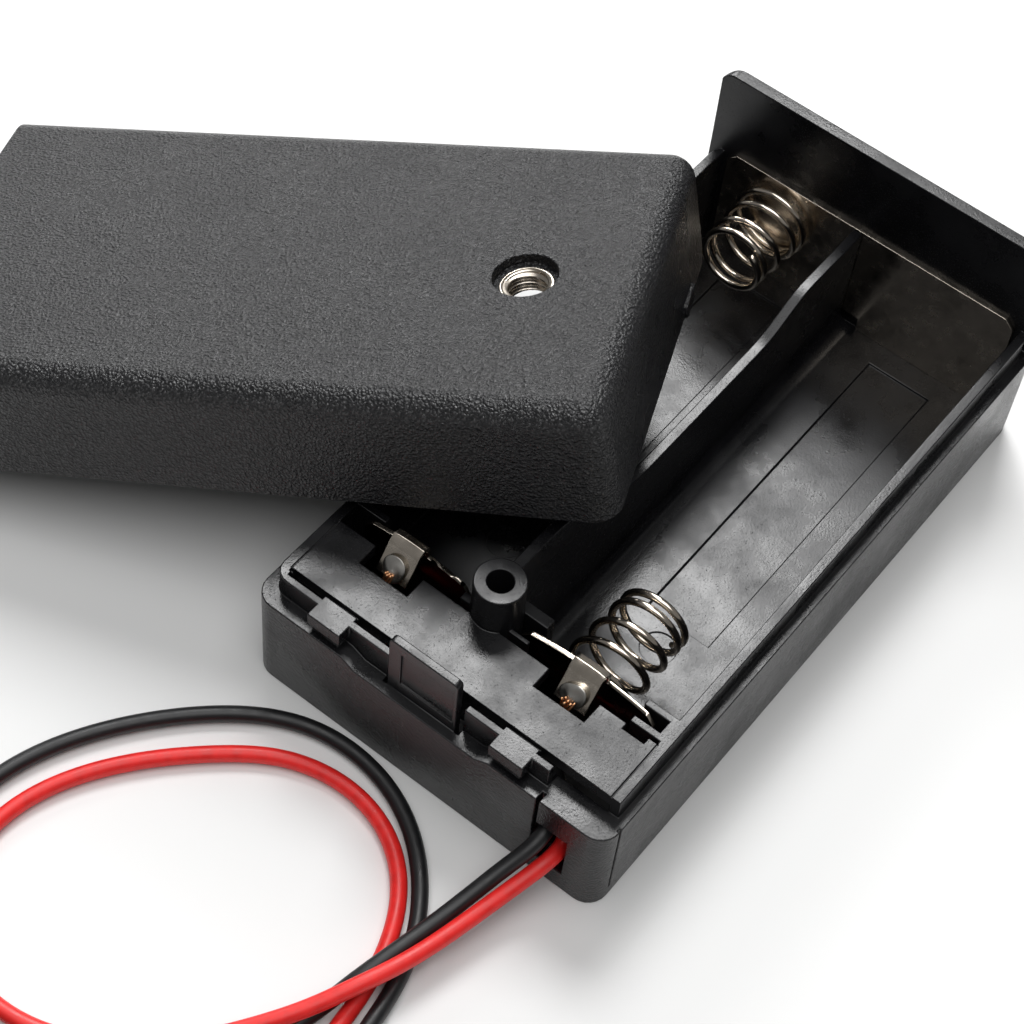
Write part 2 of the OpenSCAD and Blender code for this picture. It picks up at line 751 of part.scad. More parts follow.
module red_inner_strands() {
    color("#b87a4c") strands(tongue_y, strand_up);
}

module black_inner_strands() {
    color("#b87a4c") strands(tongue_y_right, strand_up);
}

module red_lead() {
    color("#c8201e") tube(red_route, lead_d / 2, lead_sides);
}

module black_lead() {
    color("#1c1c1f") tube(black_route, lead_d / 2, lead_sides);
}

// The tinned end goes on straight from the route's last stretch
module tinned_end(p) {
    last = len(p) - 1;
    d = heading(p, last);
    color("#c4c4c6")
    translate(p[last])
        rotate([0, 90, atan2(d[1], d[0])])
            cylinder(h = bare_l, d = strand_d, $fn = 24);
}

module red_tinned_end() {
    tinned_end(red_route);
}

module black_tinned_end() {
    tinned_end(black_route);
}

base_case();
lid();
threaded_insert();
positive_contact();
negative_contact();
link_contact();
negative_spring();
link_spring();
positive_solder_joint();
negative_solder_joint();
red_lead();
black_lead();
red_inner_strands();
black_inner_strands();
red_tinned_end();
black_tinned_end();
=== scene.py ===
"""Two-cell battery case with its lid laid across it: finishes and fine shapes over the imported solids.

Lengths are in metres. +X runs from the lead end to the far end, +Y to the side that the lid leans on,
+Z up, and the origin is the middle of the case's underside.
"""

import math

import bmesh
import bpy
import numpy as np
from bpy.props import FloatProperty, FloatVectorProperty, IntProperty, PointerProperty
from bpy.types import Operator, Panel, PropertyGroup
from mathutils import Matrix, Vector


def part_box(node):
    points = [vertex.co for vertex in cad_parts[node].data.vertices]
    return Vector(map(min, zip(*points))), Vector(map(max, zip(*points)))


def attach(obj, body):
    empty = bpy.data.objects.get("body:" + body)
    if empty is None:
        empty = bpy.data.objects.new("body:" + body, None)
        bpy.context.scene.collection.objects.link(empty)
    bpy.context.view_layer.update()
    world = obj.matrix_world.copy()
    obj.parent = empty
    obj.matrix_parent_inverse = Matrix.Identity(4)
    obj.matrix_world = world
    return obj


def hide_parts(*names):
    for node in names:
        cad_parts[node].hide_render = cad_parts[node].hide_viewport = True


bl_info = {
    "name": "Cell holder",
    "version": (1, 0, 0),
    "blender": (4, 5, 0),
    "location": "3D View > Sidebar > Cell holder",
    "description": "Builds the finished look of a two-cell battery case",
    "category": "Object",
}

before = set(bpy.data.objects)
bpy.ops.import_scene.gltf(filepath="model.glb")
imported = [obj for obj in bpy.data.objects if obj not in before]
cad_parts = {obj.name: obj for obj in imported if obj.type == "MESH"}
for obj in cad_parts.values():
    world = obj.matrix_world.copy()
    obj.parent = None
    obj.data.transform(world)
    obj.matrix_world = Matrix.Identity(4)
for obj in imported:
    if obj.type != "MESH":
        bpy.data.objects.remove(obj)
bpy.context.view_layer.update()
MM = 0.001
BODY = "root"

# Routes of the leads, in millimetres, from the solder joint to the free end
RED_ROUTE = [
    (-26.5, 10.2, 9.2), (-27.5, 9.0, 7.0), (-28.6, 5.6, 5.0), (-29.1, 1.6, 3.8),
    (-29.2, -2.6, 3.2), (-29.2, -6.6, 2.9), (-29.4, -10.2, 3.1), (-30.4, -13.0, 3.8),
    (-32.0, -14.3, 4.4), (-34.0, -14.4, 4.7), (-36.3, -13.8, 4.2), (-38.6, -13.1, 3.6),
    (-41.2, -12.4, 3.2), (-44.6, -11.6, 3.0),
    (-48.6, -10.6, 3.1), (-52.0, -9.2, 3.3), (-54.4, -8.0, 2.9), (-56.8, -6.8, 2.4),
    (-60.2, -4.5, 2.0), (-63.8, -1.6, 1.1), (-67.6, 2.2, 0.8), (-70.6, 6.8, 0.8),
    (-72.2, 12.2, 0.8), (-71.4, 17.8, 0.8), (-68.0, 22.4, 0.8), (-62.8, 24.8, 0.8),
    (-57.0, 24.6, 0.8), (-51.6, 22.2, 0.8), (-46.8, 18.6, 0.8), (-42.7, 14.3, 0.8),
    (-40.2, 11.2, 0.8), (-38.8, 7.7, 0.8), (-38.3, 4.1, 0.8), (-38.8, 0.6, 0.8),
    (-40.2, -2.4, 0.8), (-42.2, -4.8, 0.8), (-44.8, -6.7, 0.8), (-48.4, -8.3, 0.8),
    (-52.4, -9.1, 0.8), (-56.6, -9.4, 0.8), (-60.6, -9.8, 0.8),
]
BLACK_ROUTE = [
    (-27.1, -8.7, 9.2), (-28.1, -9.4, 7.8), (-29.4, -10.8, 7.1), (-31.2, -12.3, 6.8),
    (-34.0, -13.2, 6.1), (-36.1, -12.2, 5.0), (-38.6, -11.4, 3.9), (-42.7, -10.4, 2.8),
    (-46.6, -9.5, 2.5), (-50.0, -8.7, 2.4), (-52.4, -8.0, 1.9), (-54.4, -7.5, 1.2),
    (-57.2, -6.8, 0.8), (-61.2, -5.6, 0.8), (-65.6, -3.4, 0.8), (-70.0, 0.4, 0.8),
    (-73.4, 5.6, 0.8), (-75.0, 11.8, 0.8), (-74.2, 18.4, 0.8), (-70.6, 24.2, 0.8),
    (-64.8, 27.6, 0.8), (-58.0, 28.2, 0.8), (-51.4, 26.2, 0.8), (-45.4, 22.4, 0.8),
    (-40.4, 17.9, 0.8), (-37.4, 13.9, 0.8), (-35.8, 10.2, 0.8), (-35.4, 6.5, 0.8),
    (-35.7, 2.8, 0.8), (-37.0, -0.9, 0.8), (-39.2, -4.3, 0.8), (-42.3, -7.2, 0.8),
    (-45.8, -9.4, 0.8), (-49.6, -10.7, 0.8), (-53.6, -11.2, 0.8), (-57.6, -11.6, 0.8),
    (-61.2, -12.4, 0.8),
]
# Where each lead leaves the case
RED_EXIT = (-34.0, -14.4, 4.7)
BLACK_EXIT = (-34.0, -13.2, 6.1)
# Points between two of a route's points, and how often the line through them is evened out
ROUTE_SAMPLES = 8
ROUTE_PASSES = 60

# View: azimuth, elevation and roll in degrees, distance and the point looked at in millimetres
VIEW_ANGLES = (32.336, 55.073, 6.980)
VIEW_DISTANCE = 228.05
VIEW_TARGET = (-6.255, 11.421, 0)
# Focal length, in millimetres
LENS = 86.15
# Lamps: name, place, point lit, width and depth in metres, power in watts
LAMPS = (
    ("back_light", (0.36, 0.25, 0.64), (0, 0.01, 0), 0.28, 0.28, 4.2),
    ("low_light", (0.50, 0.62, 0.45), (0, 0.01, 0), 0.40, 0.28, 3.8),
    ("top_light", (-0.16, -0.08, 1.0), (-0.03, 0, 0), 0.90, 0.90, 6.2),
)
WORLD_STRENGTH = 0.16
# Half the floor's width in metres, and how far it lies under the part, in millimetres
FLOOR_REACH = 3.0
FLOOR_DROP = 0.02


# ---------------------------------------------------------------- settings


def colour(name, description, value):
    """A colour that a user may change, as red, green and blue from 0 to 1."""
    return FloatVectorProperty(
        name=name, description=description, subtype="COLOR", size=3, min=0, max=1, default=value
    )


def length(name, description, value):
    """A length that a user may change, in metres."""
    return FloatProperty(
        name=name, description=description, default=value, min=0, subtype="DISTANCE", unit="LENGTH"
    )


class CellHolderSizes(PropertyGroup):
    """Sizes of the fine shapes."""

    lead_diameter: length("Lead diameter", "Outer diameter of a lead", 1.5 * MM)
    strand_diameter: length("Strand diameter", "Diameter of a lead's bare strands", 0.8 * MM)
    case_edge: length("Case edge", "Rounding of the case's edges", 0.12 * MM)
    lid_edge: length("Lid edge", "Rounding of the lid's small edges", 0.12 * MM)
    sheet_edge: length("Sheet edge", "Rounding of the contact sheet's edges", 0.05 * MM)
    thread_pitch: length("Thread pitch", "Pitch of the insert's thread", 0.7 * MM)
    thread_depth: length("Thread depth", "Depth of the insert's thread", 0.32 * MM)
    insert_diameter: length("Insert diameter", "Outer diameter of the insert", 4.8 * MM)
    insert_bore: length("Insert bore", "Core diameter of the insert's thread", 3.4 * MM)
    insert_length: length("Insert length", "Length of the insert", 2 * MM)
    spring_wire: length("Spring wire", "Diameter of the springs' wire", 0.7 * MM)
    spring_diameter: length("Spring diameter", "Outer diameter of a spring's wide end", 8 * MM)
    spring_tip: length("Spring tip", "Outer diameter of a spring's narrow end", 7 * MM)
    spring_turns: IntProperty(
        name="Spring turns", description="Turns of the near spring that stand apart", default=3
    )
    link_spring_turns: IntProperty(
        name="Link spring turns", description="Turns of the far spring that stand apart", default=2
    )


class CellHolderColours(PropertyGroup):
    """Colours of the finishes."""

    case: colour("Case", "Black plastic of the case", (0.006, 0.006, 0.007))
    lid: colour("Lid", "Black plastic of the lid", (0.005, 0.005, 0.006))
    nickel: colour("Nickel", "Plating of the contacts and the springs", (0.78, 0.70, 0.60))
    insert: colour("Insert", "Plating of the threaded insert", (0.66, 0.60, 0.52))
    solder: colour("Solder", "Tin solder", (0.62, 0.60, 0.56))
    copper: colour("Copper", "Bare strands", (0.72, 0.38, 0.20))
    red: colour("Red lead", "Red insulation", (0.74, 0.016, 0.014))
    black: colour("Black lead", "Black insulation", (0.008, 0.008, 0.009))
    floor: colour("Floor", "The pale floor", (0.80, 0.80, 0.795))


# ---------------------------------------------------------------- meshes


def new_object(name, mesh, materials=()):
    """Links a mesh to the scene as a smooth-shaded object at the origin."""
    obj = bpy.data.objects.new(name, mesh)
    bpy.context.scene.collection.objects.link(obj)
    for material in materials:
        mesh.materials.append(material)
    return obj


def grid_mesh(name, points, close_u=False, close_v=False, cap_ends=False, strips=1):
    """A mesh from a grid of points, shaped (rows, columns, 3).

    Each cell of the grid is one face; close_u joins the last row to the first and close_v the last
    column to the first. The rows may hold several strips of equal length, which stay apart.
    cap_ends closes the first and the last row of each strip with one face.
    """
    rows, columns = points.shape[:2]
    long = rows // strips
    index = np.arange(rows * columns).reshape(rows, columns)
    if close_u:
        index = np.vstack([index, index[:1]])
    if close_v:
        index = np.hstack([index, index[:, :1]])
    faces = np.stack([index[:-1, :-1], index[:-1, 1:], index[1:, 1:], index[1:, :-1]], axis=-1)
    if strips > 1:
        faces = faces[np.arange(1, rows) % long != 0]
    faces = faces.reshape(-1, 4).tolist()
    if cap_ends:
        for strip in range(strips):
            faces.append(index[strip * long, :columns][::-1].tolist())
            faces.append(index[strip * long + long - 1, :columns].tolist())
    mesh = bpy.data.meshes.new(name)
    mesh.from_pydata(points.reshape(-1, 3).tolist(), [], faces)
    mesh.validate()
    mesh.shade_smooth()
    return mesh


def face_outwards(mesh):
    """Turns every face of a closed mesh outwards."""
    work = bmesh.new()
    work.from_mesh(mesh)
    bmesh.ops.recalc_face_normals(work, faces=work.faces)
    work.to_mesh(mesh)
    work.free()


def through_points(route, samples):
    """Points of a smooth line through a route's points.

    Between two points the line is the cubic whose end slopes are half the chord of the neighbours.
    """
    p = np.asarray(route, float)
    q = np.vstack([2 * p[0] - p[1], p, 2 * p[-1] - p[-2]])
    t = np.linspace(0, 1, samples, endpoint=False)[None, :, None]
    a, b, c, d = (q[i : len(q) - 3 + i, None, :] for i in range(4))
    square, cube = 2 * a - 5 * b + 4 * c - d, 3 * b - a - 3 * c + d
    line = 0.5 * (2 * b + (c - a) * t + square * t**2 + cube * t**3)
    return np.vstack([line.reshape(-1, p.shape[1]), p[-1:]])


def relaxed(line, passes):
    """Evens out a line: in each pass a point moves half-way to the middle of its neighbours."""
    line = line.copy()
    for _ in range(passes):
        line[1:-1] = (line[:-2] + 2 * line[1:-1] + line[2:]) / 4
    return line


def tube_points(line, radius, sides, axis):
    """Rings round a line: row i, column k is the line's point i plus the radius at angle k.

    The two directions of a ring stand square to the line, the first one also square to axis. radius
    is one number, a value for each row, or a grid of rows by sides.
    """
    along = np.gradient(line, axis=0)
    along /= np.linalg.norm(along, axis=1, keepdims=True)
    first = np.cross(along, axis)
    first /= np.linalg.norm(first, axis=1, keepdims=True)
    second = np.cross(first, along)
    angle = 2 * np.pi * np.arange(sides) / sides
    if np.ndim(radius) < 2:
        radius = np.asarray(radius, float).reshape(-1, 1)
    radius = np.broadcast_to(radius, (len(line), sides))
    cosine, sine = np.cos(angle)[None, :, None], np.sin(angle)[None, :, None]
    return line[:, None] + radius[..., None] * (cosine * first[:, None] + sine * second[:, None])


def face_data(mesh):
    """Centres and normals of a mesh's faces, as two arrays of rows."""
    found = []
    for key in ("center", "normal"):
        values = np.empty(len(mesh.polygons) * 3)
        mesh.polygons.foreach_get(key, values)
        found.append(values.reshape(-1, 3))
    return found


def mark_faces(mesh, name, chosen):
    """Gives each face a value: 1 where it is chosen, 0 elsewhere."""
    layer = mesh.attributes.new(name, "FLOAT", "FACE")
    layer.data.foreach_set("value", chosen.astype(float))


def node_axes(node, rank):
    """Points of a CAD node, their middle and three axes.

    The last axis points up. The points spread most along it for rank 2, and least for rank 0.
    """
    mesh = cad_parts[node].data
    points = np.empty(len(mesh.vertices) * 3)
    mesh.vertices.foreach_get("co", points)
    points = np.unique(points.reshape(-1, 3).round(7), axis=0)
    centre = (points.min(0) + points.max(0)) / 2
    along = np.linalg.eigh(np.cov((points - points.mean(0)).T))[1][:, rank]
    along *= np.sign(along[2])
    across = np.cross((0, 1, 0), along)
    across /= np.linalg.norm(across)
    return points, centre, across, np.cross(along, across), along


def edge_room(edge, limit):
    """How wide an edge may be rounded: less than half of the shortest edge that leaves its ends."""
    a, b = edge.verts
    along = (b.co - a.co).normalized()
    room = limit
    for vert in edge.verts:
        for other in vert.link_edges:
            if other is edge:
                continue
            away = (other.other_vert(vert).co - vert.co).normalized()
            if abs(away.dot(along)) < 0.75:
                room = min(room, other.calc_length() * 0.42)
    return room


def bend_upper_edge(work, bow):
    """Bows the upper part of an upright sheet along +X: most at the middle of its width and its top."""
    low, high = (
        Vector(pick(vert.co[i] for vert in work.verts) for i in range(3)) for pick in (min, max)
    )
    bend_z = high.z - 4 * MM
    cuts = [((0, low.y + (high.y - low.y) * k / 14, 0), (0, 1, 0)) for k in range(1, 14)]
    cuts += [((0, 0, bend_z + (high.z - bend_z) * k / 5), (0, 0, 1)) for k in range(5)]
    for place, normal in cuts:
        everything = work.verts[:] + work.edges[:] + work.faces[:]
        bmesh.ops.bisect_plane(work, geom=everything, dist=1e-7, plane_co=place, plane_no=normal)
    for vert in work.verts:
        side = 2 * (vert.co.y - low.y) / (high.y - low.y) - 1
        up = min(1, max(0, (vert.co.z - bend_z) / (2.6 * MM)))
        vert.co.x += bow * (1 - side**2) * up**1.5


def dressed_copy(node, name, rounding, material, fold=math.radians(34), bow=0.0):
    """A copy of a CAD node with its flats joined and its sharp edges rounded, which stands for it."""
    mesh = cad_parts[node].data.copy()
    mesh.name = name
    mesh.materials.clear()
    work = bmesh.new()
    work.from_mesh(mesh)
    bmesh.ops.remove_doubles(work, verts=work.verts, dist=1e-6)
    bmesh.ops.dissolve_limit(work, angle_limit=math.radians(0.6), verts=work.verts, edges=work.edges)
    if bow:
        bend_upper_edge(work, bow)
    weight = work.edges.layers.float.new("bevel_weight_edge")
    for edge in work.edges:
        if len(edge.link_faces) == 2 and edge.calc_face_angle(0) > fold:
            edge[weight] = edge_room(edge, rounding) / rounding
    work.to_mesh(mesh)
    work.free()
    mesh.shade_smooth()
    obj = new_object(name, mesh, [material])
    bevel = obj.modifiers.new("rounded edges", "BEVEL")
    bevel.limit_method = "WEIGHT"
    bevel.width = rounding
    bevel.segments = 3
    bevel.use_clamp_overlap = False
    flat = obj.modifiers.new("flat faces stay flat", "WEIGHTED_NORMAL")
    flat.keep_sharp = True
    stand_for(obj, node)
    return obj


def stand_for(obj, *nodes):
    """The piece rides on the body and stands for these CAD nodes."""
    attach(obj, BODY)
    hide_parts(*nodes)


# ---------------------------------------------------------------- materials


def add_node(tree, kind, inputs=(), **settings):
    """Adds a shader node; inputs maps a socket to a value or to another node's output."""
    node = tree.nodes.new("ShaderNode" + kind)
    for key, value in settings.items():
        setattr(node, key, value)
    for key, value in dict(inputs).items():
        if isinstance(value, bpy.types.NodeSocket):
            tree.links.new(value, node.inputs[key])
        else:
            node.inputs[key].default_value = value
    return node


def new_material(name, base, roughness, **constants):
    """A material with one Principled shader; returns the material, its tree and the shader."""
    material = bpy.data.materials.new(name)
    material.use_nodes = True
    tree = material.node_tree
    shader = tree.nodes["Principled BSDF"]
    shader.inputs["Base Color"].default_value = (*base, 1)
    shader.inputs["Roughness"].default_value = roughness
    for key, value in constants.items():
        shader.inputs[key.replace("_", " ").title().replace("Ior", "IOR")].default_value = value
    return material, tree, shader


def noise(tree, scale, detail=2.0, rough=0.5, stretch=(1, 1, 1)):
    """Noise over the piece's own coordinates; scale counts lumps in a metre."""
    place = add_node(tree, "TexCoord")
    mapping = add_node(tree, "Mapping", {"Vector": place.outputs["Object"], "Scale": stretch})
    return add_node(
        tree,
        "TexNoise",
        {"Vector": mapping.outputs["Vector"], "Scale": scale, "Detail": detail, "Roughness": rough},
    ).outputs["Fac"]


def spread(tree, value, low, high, to_low=0.0, to_high=1.0):
    """Stretches a value from one range to another and cuts it there."""
    return add_node(
        tree,
        "MapRange",
        {"Value": value, "From Min": low, "From Max": high, "To Min": to_low, "To Max": to_high},
    ).outputs["Result"]


def between(tree, factor, low, high):
    """A colour between two colours."""
    ramp = add_node(tree, "ValToRGB", {"Fac": factor})
    ramp.color_ramp.elements[0].color = (*low, 1)
    ramp.color_ramp.elements[1].color = (*high, 1)
    return ramp.outputs["Color"]


def shade(base, factor):
    """The same colour, lighter or darker."""
    return tuple(min(1.0, channel * factor) for channel in base)


def bump(tree, height, strength, distance, below=None):
    """A bump on top of another one."""
    inputs = {"Height": height, "Strength": strength, "Distance": distance}
    if below is not None:
        inputs["Normal"] = below
    return add_node(tree, "Bump", inputs).outputs["Normal"]


def case_plastic():
    """Black moulded plastic: smooth satin inside with rubbing marks, a fine grain on the outer walls."""
    base = tuple(bpy.context.scene.cell_holder_colours.case)
    material, tree, shader = new_material("case_plastic", base, 0.3, specular_ior_level=0.42)
    outside = add_node(tree, "Attribute", attribute_name="outside").outputs["Fac"]
    cloud = noise(tree, 160, 4, 0.62)
    speck = noise(tree, 4600, 2, 0.6)
    dust = spread(tree, noise(tree, 6000, 3, 0.7), 0.62, 0.74)
    sheen = add_node(
        tree, "Math", {0: spread(tree, cloud, 0.3, 0.7, 0.15, 0.40), 1: dust}, operation="ADD"
    ).outputs[0]
    tree.links.new(sheen, shader.inputs["Roughness"])
    tint = between(tree, spread(tree, cloud, 0.3, 0.75), shade(base, 0.6), shade(base, 1.5))
    tree.links.new(tint, shader.inputs["Base Color"])
    rubbed = bump(tree, noise(tree, 900, 3, 0.6, (1, 0.12, 1)), 0.1, 0.02 * MM)
    wavy = bump(tree, noise(tree, 260, 2), 0.4, 0.06 * MM, rubbed)
    share = spread(tree, outside, 0, 1, 0.16, 1)
    grain = add_node(tree, "Math", {0: speck, 1: share}, operation="MULTIPLY").outputs[0]
    tree.links.new(bump(tree, grain, 0.8, 0.09 * MM, wavy), shader.inputs["Normal"])
    return material


def lid_plastic():
    """Black moulded plastic with a pebble grain: crisp winding lumps with narrow valleys between."""
    base = tuple(bpy.context.scene.cell_holder_colours.lid)
    material, tree, shader = new_material("lid_plastic", base, 0.25, specular_ior_level=0.42)
    place = add_node(tree, "TexCoord").outputs["Object"]
    bend = add_node(tree, "TexNoise", {"Vector": place, "Scale": 1400, "Detail": 2.0}).outputs["Color"]
    shift = add_node(
        tree, "VectorMath", {0: bend, 1: (0.4 * MM, 0.4 * MM, 0.4 * MM)}, operation="MULTIPLY"
    ).outputs[0]
    winding = add_node(tree, "VectorMath", {0: place, 1: shift}, operation="ADD").outputs[0]
    lumps = add_node(
        tree, "TexVoronoi", {"Vector": winding, "Scale": 3700, "Smoothness": 0.3, "Randomness": 1.0},
        feature="SMOOTH_F1",
    ).outputs["Distance"]
    worms = noise(tree, 4400, 3, 0.6)
    pebble = add_node(tree, "Math", {0: worms, 1: lumps}, operation="SUBTRACT").outputs[0]
    drift = noise(tree, 120, 3)
    tree.links.new(spread(tree, drift, 0.3, 0.7, 0.24, 0.33), shader.inputs["Roughness"])
    crests = spread(tree, pebble, -0.05, 0.35, 0.36, 0.72)
    tree.links.new(crests, shader.inputs["Specular IOR Level"])
    tint = between(tree, spread(tree, worms, 0.35, 0.65), shade(base, 0.7), shade(base, 1.5))
    tree.links.new(tint, shader.inputs["Base Color"])
    swell = bump(tree, noise(tree, 700, 2), 0.25, 0.08 * MM)
    tree.links.new(bump(tree, pebble, 0.85, 0.15 * MM, swell), shader.inputs["Normal"])
    return material


def bright_metal(name, base, low, high, streak, stretch=(1, 1, 1)):
    """Plated metal: even colour, roughness that drifts between low and high, faint drawn lines.

    Faces marked for painted shade are darkened, which paints shade on them.
    """
    material, tree, shader = new_material(name, base, low, metallic=1.0)
    drift = noise(tree, 700, 3)
    tree.links.new(spread(tree, drift, 0.3, 0.7, low, high), shader.inputs["Roughness"])
    tint = between(tree, spread(tree, drift, 0.25, 0.75), shade(base, 0.86), shade(base, 1.08))
    dull = add_node(tree, "Attribute", attribute_name="dull").outputs["Fac"]
    # painted shade: the marked faces keep only 0.12 of their colour
    unshaded = spread(tree, dull, 0, 1, 1, 0.12)
    tint = add_node(tree, "VectorMath", {0: tint, "Scale": unshaded}, operation="SCALE").outputs[0]
    tree.links.new(tint, shader.inputs["Base Color"])
    lines = bump(tree, noise(tree, 5200, 2, 0.5, stretch), streak, 0.01 * MM)
    tree.links.new(lines, shader.inputs["Normal"])
    return material


def insulation(name, base):
    """Smooth PVC of a lead: slightly glossy, with a faint waviness from the extruder."""
    material, tree, shader = new_material(name, base, 0.42, ior=1.5)
    wave = noise(tree, 900, 2)
    tree.links.new(spread(tree, wave, 0.3, 0.7, 0.36, 0.5), shader.inputs["Roughness"])
    tint = between(tree, spread(tree, wave, 0.3, 0.7), shade(base, 0.9), shade(base, 1.12))
    tree.links.new(tint, shader.inputs["Base Color"])
    tree.links.new(bump(tree, noise(tree, 5000, 2), 0.12, 0.01 * MM), shader.inputs["Normal"])
    return material


# ---------------------------------------------------------------- operators


class CELLHOLDER_OT_stage(Operator):
    """Pale floor, soft studio light and the camera"""

    bl_idname = "cell_holder.stage"
    bl_label = "Stage"

    def execute(self, context):
        scene = context.scene
        self.camera(scene)
        self.floor(scene)
        for lamp in LAMPS:
            self.soft_light(scene, *lamp)
        world = bpy.data.worlds.new("world")
        world.use_nodes = True
        background = world.node_tree.nodes["Background"]
        background.inputs["Color"].default_value = (1, 1, 1, 1)
        background.inputs["Strength"].default_value = WORLD_STRENGTH
        scene.world = world
        scene.view_settings.view_transform = "Standard"
        return {"FINISHED"}

    def camera(self, scene):
        """The camera, turned about its own line of sight by the view's roll."""
        azimuth, elevation, roll = (math.radians(angle) for angle in VIEW_ANGLES)
        aim = Vector(VIEW_TARGET) * MM
        ahead = Vector((
            math.cos(elevation) * math.cos(azimuth),
            math.cos(elevation) * math.sin(azimuth),
            -math.sin(elevation),
        ))
        right = ahead.cross(Vector((0, 0, 1))).normalized()
        up = right.cross(ahead)
        right, up = (
            math.cos(roll) * right + math.sin(roll) * up,
            math.cos(roll) * up - math.sin(roll) * right,
        )
        camera = bpy.data.cameras.new("camera")
        camera.sensor_width = 36
        camera.lens = LENS
        camera.clip_start = 0.01
        camera.clip_end = 20
        holder = bpy.data.objects.new("camera", camera)
        turn = Matrix((right, up, -ahead)).transposed().to_4x4()
        holder.matrix_world = Matrix.Translation(aim - ahead * (VIEW_DISTANCE * MM)) @ turn
        scene.collection.objects.link(holder)
        scene.camera = holder

    def floor(self, scene):
        """The pale floor, a hair under the part."""
        paint = new_material("floor_paint", tuple(scene.cell_holder_colours.floor), 0.7)[0]
        far = FLOOR_REACH
        corners = np.array([[[-far, -far, 0], [far, -far, 0]], [[-far, far, 0], [far, far, 0]]])
        floor = new_object("floor", grid_mesh("floor", corners), [paint])
        floor.location.z = -FLOOR_DROP * MM

    def soft_light(self, scene, name, place, target, width, depth, power):
        """A flat lamp that faces the point it lights."""
        light = bpy.data.lights.new(name, "AREA")
        light.shape = "RECTANGLE"
        light.size, light.size_y = width, depth
        light.energy = power
        lamp = bpy.data.objects.new(name, light)
        lamp.location = place
        aim_at = Vector(target) - Vector(place)
        lamp.rotation_euler = aim_at.to_track_quat("-Z", "Y").to_euler()
        scene.collection.objects.link(lamp)


class CELLHOLDER_OT_leads(Operator):
    """The red and the black lead, their bare strands and their tinned ends"""

    bl_idname = "cell_holder.leads"
    bl_label = "Leads"

    def execute(self, context):
        sizes = context.scene.cell_holder_sizes
        colours = context.scene.cell_holder_colours
        tin = bright_metal("tinned_strands", tuple(colours.solder), 0.28, 0.4, 0.2)
        for name, route, exit_at in (("red", RED_ROUTE, RED_EXIT), ("black", BLACK_ROUTE, BLACK_EXIT)):
            line = relaxed(through_points(route, ROUTE_SAMPLES), ROUTE_PASSES) * MM
            curve = bpy.data.curves.new(name + "_lead_insulation", "CURVE")
            curve.dimensions = "3D"
            curve.bevel_depth = sizes.lead_diameter / 2
            curve.bevel_resolution = 6
            curve.use_fill_caps = True
            spline = curve.splines.new("POLY")
            spline.points.add(len(line) - 1)
            spline.points.foreach_set("co", np.column_stack([line, np.ones(len(line))]).ravel())
            curve.materials.append(insulation(name + "_insulation", tuple(getattr(colours, name))))
            lead = bpy.data.objects.new(name + "_lead_insulation", curve)
            context.scene.collection.objects.link(lead)
            stand_for(lead, name + "_lead")
            end = self.tinned_end(name, np.array(route[-2:], float) * MM, sizes, tin)
        return {"FINISHED"}

    def tinned_end(self, name, last, sizes, material):
        """Seven twisted strands under tin: a tube whose radius rises and falls seven times a turn."""
        bare_l, rows, sides = 5 * MM, 60, 42
        along = last[1] - last[0]
        along[2] = 0
        along /= np.linalg.norm(along)
        s = np.linspace(0, 1, rows)
        line = last[1] + s[:, None] * bare_l * along
        angle = 2 * np.pi * np.arange(sides) / sides
        ripple = 1 - 0.07 * (1 - np.cos(7 * angle[None, :] - 22 * s[:, None])) / 2
        taper = np.sqrt(np.clip(1 - ((s - 0.93) / 0.07).clip(0) ** 2, 0.04, 1))
        radius = sizes.strand_diameter / 2 * ripple * taper[:, None]
        rings = tube_points(line, radius, sides, (0, 0, 1))
        mesh = grid_mesh(name + "_tinned_tip", rings, False, True, True)
        face_outwards(mesh)
        piece = new_object(name + "_tinned_tip", mesh, [material])
        stand_for(piece, name + "_tinned_end")
        return piece


class CELLHOLDER_OT_case(Operator):
    """The moulded case"""

    bl_idname = "cell_holder.case"
    bl_label = "Case"

    def execute(self, context):
        sizes = context.scene.cell_holder_sizes
        piece = dressed_copy("base_case", "case_moulding", sizes.case_edge, case_plastic())
        self.mark_outside(piece.data)
        return {"FINISHED"}

    def mark_outside(self, mesh):
        """Marks the faces of the outer walls, which carry the grain."""
        low, high = (np.array(corner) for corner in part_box("base_case"))
        centre, normal = face_data(mesh)
        edge = np.minimum(centre - low, high - centre)[:, :2].min(1)
        mark_faces(mesh, "outside", (edge < 0.6 * MM) & (abs(normal[:, 2]) < 0.5))


class CELLHOLDER_OT_lid(Operator):
    """The moulded lid"""

    bl_idname = "cell_holder.lid"
    bl_label = "Lid"

    def execute(self, context):
        sizes = context.scene.cell_holder_sizes
        piece = dressed_copy("lid", "lid_moulding", sizes.lid_edge, lid_plastic())
        return {"FINISHED"}


